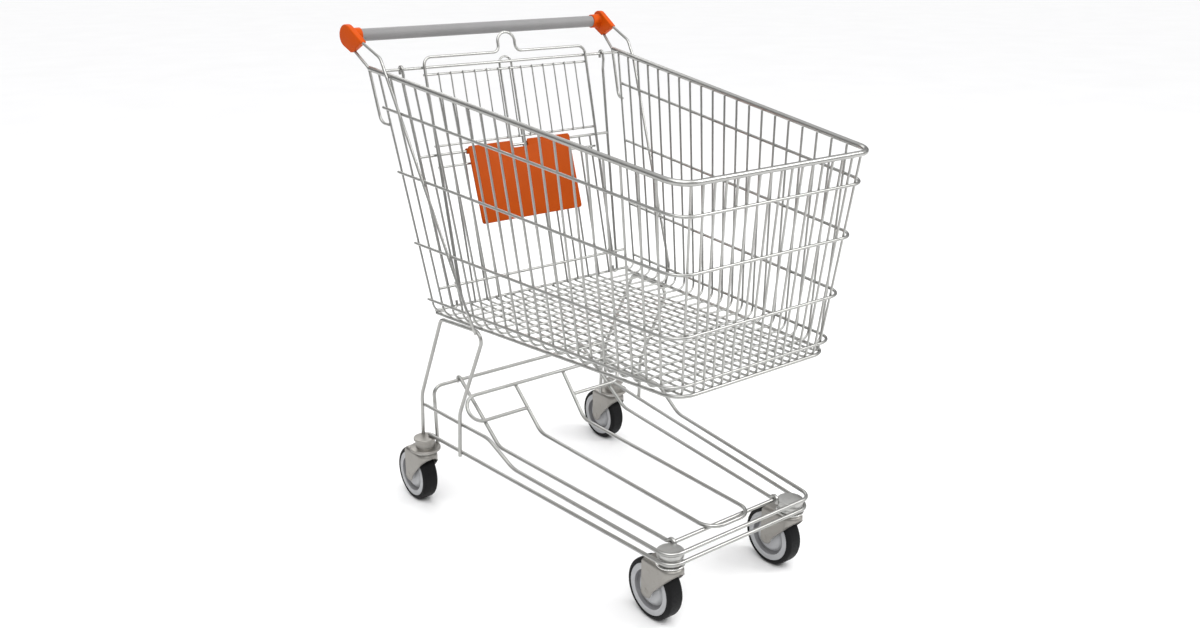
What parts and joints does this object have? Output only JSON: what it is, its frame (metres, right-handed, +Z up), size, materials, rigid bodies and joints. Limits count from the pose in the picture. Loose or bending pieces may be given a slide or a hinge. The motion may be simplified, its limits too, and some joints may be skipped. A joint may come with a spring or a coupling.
{
  "type": "shopping trolley",
  "caption": "Wire shopping trolley with tapered basket, hinged rear flap, folding child seat, bottle tray, tube handle and swivel casters.",
  "frame": {"origin": "on the floor under the middle of the trolley's length and width", "axes": "+Z up, +X to the right seen from the front, the front of the trolley faces -Y"},
  "size_m": [0.6844, 0.9535, 1.0704],
  "materials": {
    "wire": "satin",
    "handle": "satin",
    "orange_plastic": "satin",
    "fork": "satin",
    "race": "bright",
    "wheel": "satin",
    "tyre": "matt"
  },
  "bodies": {
    "trolley": {"rim": "wire", "hoop_1": "wire", "hoop_2": "wire", "hoop_3": "wire", "hoop_4": "wire", "floor_frame": "wire", "floor_rear_wire": "wire", "side_wires_left": "wire", "side_wires_right": "wire", "front_wires": "wire", "floor_cross_wires": "wire", "floor_long_wires": "wire", "cross_bar": "wire", "bracket_left": "wire", "bracket_right": "wire", "brace_left": "wire", "brace_right": "wire", "leg_frame_left": "wire", "leg_frame_right": "wire", "chassis_lower": "wire", "chassis_upper": "wire", "rear_arch": "wire", "tray_carrier": "wire", "tray_outer_left": "wire", "tray_outer_right": "wire", "tray_inner": "wire", "tray_front_bar": "wire", "handle_tube": "handle", "cap_left": "orange_plastic", "cap_right": "orange_plastic", "head_front_left": "fork", "head_front_right": "fork", "head_rear_left": "fork", "head_rear_right": "fork"},
    "caster_front_left": {"race_front_left": "race", "fork_front_left": "fork", "axle_front_left": "race"},
    "roller_front_left": {"wheel_front_left": "wheel", "tyre_front_left": "tyre"},
    "caster_front_right": {"race_front_right": "race", "fork_front_right": "fork", "axle_front_right": "race"},
    "roller_front_right": {"wheel_front_right": "wheel", "tyre_front_right": "tyre"},
    "caster_rear_left": {"race_rear_left": "race", "fork_rear_left": "fork", "axle_rear_left": "race"},
    "roller_rear_left": {"wheel_rear_left": "wheel", "tyre_rear_left": "tyre"},
    "caster_rear_right": {"race_rear_right": "race", "fork_rear_right": "fork", "axle_rear_right": "race"},
    "roller_rear_right": {"wheel_rear_right": "wheel", "tyre_rear_right": "tyre"},
    "rear_flap": {"flap_frame": "wire", "flap_wires": "wire", "rest_bar": "wire"},
    "seat_back": {"seat_frame": "wire", "seat_wires": "wire"},
    "seat_panel": {"seat_plate": "orange_plastic"}
  },
  "joints": [
    {"name": "swivel_front_left", "type": "hinge", "parent": "trolley", "child": "caster_front_left", "pos_m": [-0.163, -0.38721, 0.13], "axis": [0, 0, 1], "continuous": true},
    {"name": "roll_front_left", "type": "hinge", "parent": "caster_front_left", "child": "roller_front_left", "pos_m": [-0.163, -0.34621, 0.0625], "axis": [1, 0, 0], "continuous": true},
    {"name": "swivel_front_right", "type": "hinge", "parent": "trolley", "child": "caster_front_right", "pos_m": [0.163, -0.38721, 0.13], "axis": [0, 0, 1], "continuous": true},
    {"name": "roll_front_right", "type": "hinge", "parent": "caster_front_right", "child": "roller_front_right", "pos_m": [0.163, -0.34621, 0.0625], "axis": [1, 0, 0], "continuous": true},
    {"name": "swivel_rear_left", "type": "hinge", "parent": "trolley", "child": "caster_rear_left", "pos_m": [-0.275, 0.32379, 0.13], "axis": [0, 0, 1], "continuous": true},
    {"name": "roll_rear_left", "type": "hinge", "parent": "caster_rear_left", "child": "roller_rear_left", "pos_m": [-0.275, 0.36479, 0.0625], "axis": [1, 0, 0], "continuous": true},
    {"name": "swivel_rear_right", "type": "hinge", "parent": "trolley", "child": "caster_rear_right", "pos_m": [0.275, 0.32379, 0.13], "axis": [0, 0, 1], "continuous": true},
    {"name": "roll_rear_right", "type": "hinge", "parent": "caster_rear_right", "child": "roller_rear_right", "pos_m": [0.275, 0.36479, 0.0625], "axis": [1, 0, 0], "continuous": true},
    {"name": "flap_swing", "type": "hinge", "parent": "trolley", "child": "rear_flap", "pos_m": [0, 0.36079, 0.981], "axis": [-1, 0, 0], "range_deg": [0, 70]},
    {"name": "seat_back_tilt", "type": "hinge", "parent": "rear_flap", "child": "seat_back", "pos_m": [0, 0.25817, 0.5302], "axis": [1, 0, 0], "range_deg": [0, 33]},
    {"name": "seat_panel_lift", "type": "hinge", "parent": "rear_flap", "child": "seat_panel", "pos_m": [0, 0.32232, 0.80199], "axis": [-1, 0, 0], "range_deg": [0, 72.6]}
  ],
  "couplings": [
    {"joint": "seat_panel_lift", "follows": "seat_back_tilt", "ratio": 2.2}
  ]
}
